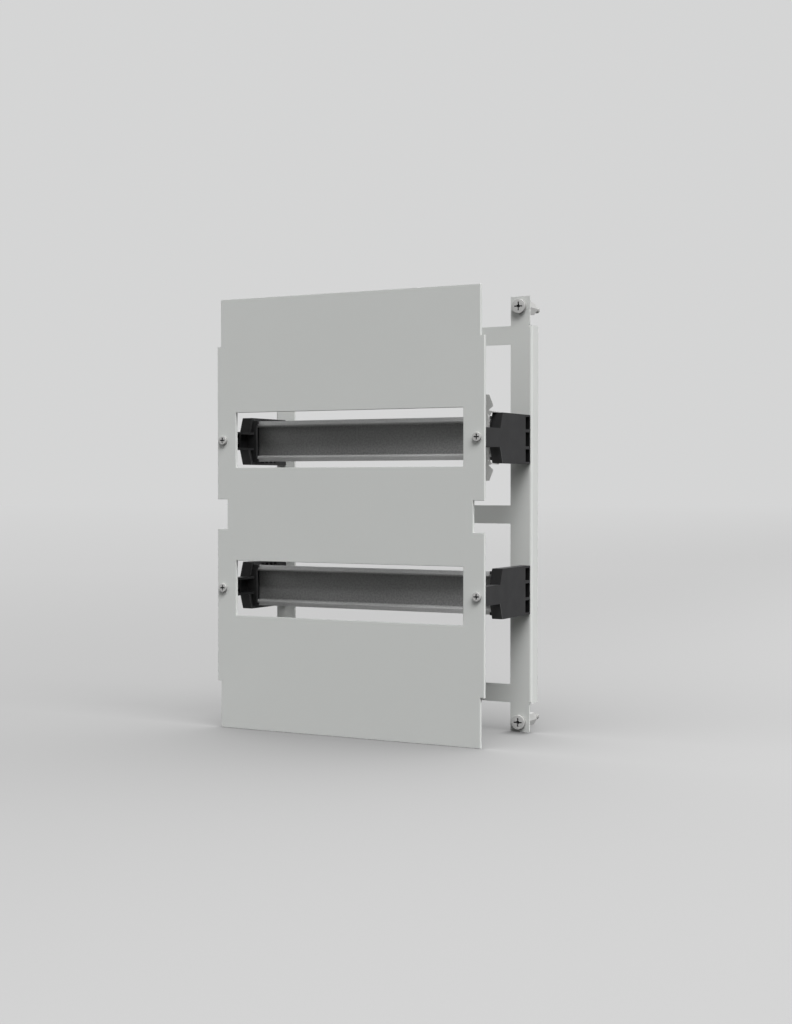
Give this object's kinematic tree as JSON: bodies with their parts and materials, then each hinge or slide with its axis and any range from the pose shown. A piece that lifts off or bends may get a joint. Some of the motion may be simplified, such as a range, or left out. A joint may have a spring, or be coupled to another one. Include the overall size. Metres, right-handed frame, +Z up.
{
  "type": "module chassis",
  "caption": "Upright chassis for modular devices: a flat slotted cover in front of top-hat rails, held by black holders on a folded sheet-metal frame with four studded spacers behind.",
  "frame": {"origin": "centre of the four spacers, in the plane where they seat on the enclosure", "axes": "+Z up, +Y back towards the enclosure and along the studs, +X to the right seen from the front"},
  "size_m": [0.25, 0.135, 0.363],
  "materials": {
    "cover_paint": "light grey powder coat, fine texture, low sheen",
    "frame_paint": "light grey powder coat, low sheen",
    "rail_steel": "zinc plated strip, drawn along its length",
    "holder_plastic": "black moulded plastic, fine grain",
    "screw_zinc": "zinc plated, satin",
    "spacer_zinc": "bright zinc plated, satin",
    "clip_steel": "bright spring strip"
  },
  "bodies": {
    "root": {"cover_plate": "cover_paint", "mounting_frame": "frame_paint", "upper_module_rail": "rail_steel", "upper_left_rail_holder": "holder_plastic", "upper_left_cover_screw": "screw_zinc", "upper_right_rail_holder": "holder_plastic", "upper_right_cover_screw": "screw_zinc", "lower_module_rail": "rail_steel", "lower_left_rail_holder": "holder_plastic", "lower_left_cover_screw": "screw_zinc", "lower_right_rail_holder": "holder_plastic", "lower_right_cover_screw": "screw_zinc", "top_left_mounting_bolt": "screw_zinc", "top_left_stud_spacer": "spacer_zinc", "top_right_mounting_bolt": "screw_zinc", "top_right_stud_spacer": "spacer_zinc", "bottom_left_mounting_bolt": "screw_zinc", "bottom_left_stud_spacer": "spacer_zinc", "bottom_right_mounting_bolt": "screw_zinc", "bottom_right_stud_spacer": "spacer_zinc", "earthing_clip": "clip_steel"}
  },
  "joints": []
}
